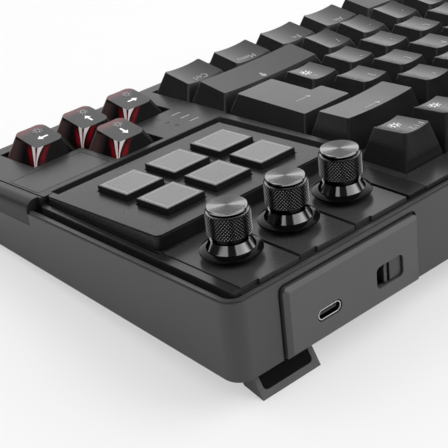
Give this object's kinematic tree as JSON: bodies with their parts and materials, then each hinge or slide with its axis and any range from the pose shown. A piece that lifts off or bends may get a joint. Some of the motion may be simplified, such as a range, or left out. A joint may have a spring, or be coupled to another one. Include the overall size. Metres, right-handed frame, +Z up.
{
  "type": "mechanical gaming keyboard",
  "caption": "Compact mechanical keyboard with a right-hand module of smoky arrow keys, clear display keys and knurled knobs, a rear port panel and flip feet.",
  "frame": {"origin": "centre of the bounding box's underside, on the desk", "axes": "+X to the typist's right, +Y from the typist to the rear, +Z up, with the board tilted on its open flip feet"},
  "size_m": [0.3788, 0.1423, 0.0492],
  "materials": {
    "case_plastic": "satin",
    "cover_plastic": "satin",
    "trim": "satin",
    "lens": "clear",
    "screen": "gloss",
    "board": "satin",
    "ring": "gloss",
    "encoder_metal": "satin",
    "plate_metal": "satin",
    "switch_black": "satin",
    "switch_red": "satin",
    "steel": "satin",
    "cell": "satin",
    "rubber": "matte",
    "knob_metal": "anodised",
    "clear_key": "clear",
    "smoky_cap": "smoky clear",
    "keycap": "matte"
  },
  "bodies": {
    "case": {"bottom_case": "case_plastic", "deck_frame": "case_plastic", "front_cover": "cover_plastic", "trim_plate": "trim", "indicator_lens": "lens", "display_housing": "cover_plastic", "screen_panel": "screen", "display_board": "board", "knob_tiles": "case_plastic", "deck_strip": "case_plastic", "encoders": "encoder_metal", "encoder_board": "board", "switch_plate": "plate_metal", "main_board": "board", "key_switches": "switch_black", "arrow_switches": "switch_red", "rear_panel": "case_plastic", "usb_shell": "steel", "usb_tongue": "ring", "io_board": "board", "mode_switch": "encoder_metal", "battery": "cell", "case_screws": "steel", "desk_pads": "rubber"},
    "right_arrow_key": {"right_arrow_key": "smoky_cap"},
    "down_arrow_key": {"down_arrow_key": "smoky_cap"},
    "left_arrow_key": {"left_arrow_key": "smoky_cap"},
    "up_arrow_key": {"up_arrow_key": "smoky_cap"},
    "f12_key": {"f12_key": "keycap"},
    "backspace_key": {"backspace_key": "keycap"},
    "enter_key": {"enter_key": "keycap"},
    "right_shift_key": {"right_shift_key": "keycap"},
    "right_ctrl_key": {"right_ctrl_key": "keycap"},
    "space_bar": {"space_bar": "keycap"},
    "function_row": {"function_row": "keycap"},
    "number_row": {"number_row": "keycap"},
    "upper_row": {"upper_row": "keycap"},
    "home_row": {"home_row": "keycap"},
    "lower_row": {"lower_row": "keycap"},
    "bottom_row": {"bottom_row": "keycap"},
    "display_key_1": {"display_key_1": "clear_key"},
    "display_key_2": {"display_key_2": "clear_key"},
    "display_key_3": {"display_key_3": "clear_key"},
    "display_key_4": {"display_key_4": "clear_key"},
    "display_key_5": {"display_key_5": "clear_key"},
    "display_key_6": {"display_key_6": "clear_key"},
    "right_knob": {"right_knob": "knob_metal", "right_knob_ring": "ring", "right_shaft": "steel"},
    "middle_knob": {"middle_knob": "knob_metal", "middle_knob_ring": "ring", "middle_shaft": "steel"},
    "left_knob": {"left_knob": "knob_metal", "left_knob_ring": "ring", "left_shaft": "steel"},
    "mode_slider": {"mode_slider": "ring"},
    "right_foot": {"right_foot": "cover_plastic", "right_foot_pad": "rubber"},
    "left_foot": {"left_foot": "cover_plastic", "left_foot_pad": "rubber"}
  },
  "joints": [
    {"name": "right_arrow_key_press", "type": "slide", "parent": "case", "child": "right_arrow_key", "axis": [0, 0.1332, -0.9911], "range_m": [0, 0.0036], "stiffness_N_per_m": 150, "springref_m": -0.003},
    {"name": "down_arrow_key_press", "type": "slide", "parent": "case", "child": "down_arrow_key", "axis": [0, 0.1332, -0.9911], "range_m": [0, 0.0036], "stiffness_N_per_m": 150, "springref_m": -0.003},
    {"name": "left_arrow_key_press", "type": "slide", "parent": "case", "child": "left_arrow_key", "axis": [0, 0.1332, -0.9911], "range_m": [0, 0.0036], "stiffness_N_per_m": 150, "springref_m": -0.003},
    {"name": "up_arrow_key_press", "type": "slide", "parent": "case", "child": "up_arrow_key", "axis": [0, 0.1332, -0.9911], "range_m": [0, 0.0036], "stiffness_N_per_m": 150, "springref_m": -0.003},
    {"name": "f12_key_press", "type": "slide", "parent": "case", "child": "f12_key", "axis": [0, 0.1332, -0.9911], "range_m": [0, 0.0036], "stiffness_N_per_m": 150, "springref_m": -0.003},
    {"name": "backspace_key_press", "type": "slide", "parent": "case", "child": "backspace_key", "axis": [0, 0.1332, -0.9911], "range_m": [0, 0.0036], "stiffness_N_per_m": 150, "springref_m": -0.003},
    {"name": "enter_key_press", "type": "slide", "parent": "case", "child": "enter_key", "axis": [0, 0.1332, -0.9911], "range_m": [0, 0.0036], "stiffness_N_per_m": 150, "springref_m": -0.003},
    {"name": "right_shift_key_press", "type": "slide", "parent": "case", "child": "right_shift_key", "axis": [0, 0.1332, -0.9911], "range_m": [0, 0.0036], "stiffness_N_per_m": 150, "springref_m": -0.003},
    {"name": "right_ctrl_key_press", "type": "slide", "parent": "case", "child": "right_ctrl_key", "axis": [0, 0.1332, -0.9911], "range_m": [0, 0.0036], "stiffness_N_per_m": 150, "springref_m": -0.003},
    {"name": "space_bar_press", "type": "slide", "parent": "case", "child": "space_bar", "axis": [0, 0.1332, -0.9911], "range_m": [0, 0.0036], "stiffness_N_per_m": 150, "springref_m": -0.003},
    {"name": "function_row_press", "type": "slide", "parent": "case", "child": "function_row", "axis": [0, 0.1332, -0.9911], "range_m": [0, 0.0036], "stiffness_N_per_m": 1800, "springref_m": -0.003},
    {"name": "number_row_press", "type": "slide", "parent": "case", "child": "number_row", "axis": [0, 0.1332, -0.9911], "range_m": [0, 0.0036], "stiffness_N_per_m": 1950, "springref_m": -0.003},
    {"name": "upper_row_press", "type": "slide", "parent": "case", "child": "upper_row", "axis": [0, 0.1332, -0.9911], "range_m": [0, 0.0036], "stiffness_N_per_m": 1950, "springref_m": -0.003},
    {"name": "home_row_press", "type": "slide", "parent": "case", "child": "home_row", "axis": [0, 0.1332, -0.9911], "range_m": [0, 0.0036], "stiffness_N_per_m": 1950, "springref_m": -0.003},
    {"name": "lower_row_press", "type": "slide", "parent": "case", "child": "lower_row", "axis": [0, 0.1332, -0.9911], "range_m": [0, 0.0036], "stiffness_N_per_m": 1800, "springref_m": -0.003},
    {"name": "bottom_row_press", "type": "slide", "parent": "case", "child": "bottom_row", "axis": [0, 0.1332, -0.9911], "range_m": [0, 0.0036], "stiffness_N_per_m": 900, "springref_m": -0.003},
    {"name": "display_key_1_press", "type": "slide", "parent": "case", "child": "display_key_1", "axis": [0, 0.1832, -0.9831], "range_m": [0, 0.0012], "stiffness_N_per_m": 400, "springref_m": -0.0015},
    {"name": "display_key_2_press", "type": "slide", "parent": "case", "child": "display_key_2", "axis": [0, 0.1832, -0.9831], "range_m": [0, 0.0012], "stiffness_N_per_m": 400, "springref_m": -0.0015},
    {"name": "display_key_3_press", "type": "slide", "parent": "case", "child": "display_key_3", "axis": [0, 0.1832, -0.9831], "range_m": [0, 0.0012], "stiffness_N_per_m": 400, "springref_m": -0.0015},
    {"name": "display_key_4_press", "type": "slide", "parent": "case", "child": "display_key_4", "axis": [0, 0.1832, -0.9831], "range_m": [0, 0.0012], "stiffness_N_per_m": 400, "springref_m": -0.0015},
    {"name": "display_key_5_press", "type": "slide", "parent": "case", "child": "display_key_5", "axis": [0, 0.1832, -0.9831], "range_m": [0, 0.0012], "stiffness_N_per_m": 400, "springref_m": -0.0015},
    {"name": "display_key_6_press", "type": "slide", "parent": "case", "child": "display_key_6", "axis": [0, 0.1832, -0.9831], "range_m": [0, 0.0012], "stiffness_N_per_m": 400, "springref_m": -0.0015},
    {"name": "right_knob_turn", "type": "hinge", "parent": "case", "child": "right_knob", "pos_m": [0.1714, 0.04655, 0.04145], "axis": [0, -0.1332, 0.9911], "continuous": true},
    {"name": "middle_knob_turn", "type": "hinge", "parent": "case", "child": "middle_knob", "pos_m": [0.1493, 0.04655, 0.04145], "axis": [0, -0.1332, 0.9911], "continuous": true},
    {"name": "left_knob_turn", "type": "hinge", "parent": "case", "child": "left_knob", "pos_m": [0.1272, 0.04655, 0.04145], "axis": [0, -0.1332, 0.9911], "continuous": true},
    {"name": "mode_slide", "type": "slide", "parent": "case", "child": "mode_slider", "axis": [1, 0, 0], "range_m": [0, 0.0034]},
    {"name": "right_foot_fold", "type": "hinge", "parent": "case", "child": "right_foot", "pos_m": [0.16905, 0.05635, 0.01218], "axis": [-1, 0, 0], "range_deg": [0, 123.83]},
    {"name": "left_foot_fold", "type": "hinge", "parent": "case", "child": "left_foot", "pos_m": [-0.16905, 0.05635, 0.01218], "axis": [-1, 0, 0], "range_deg": [0, 123.83]}
  ]
}
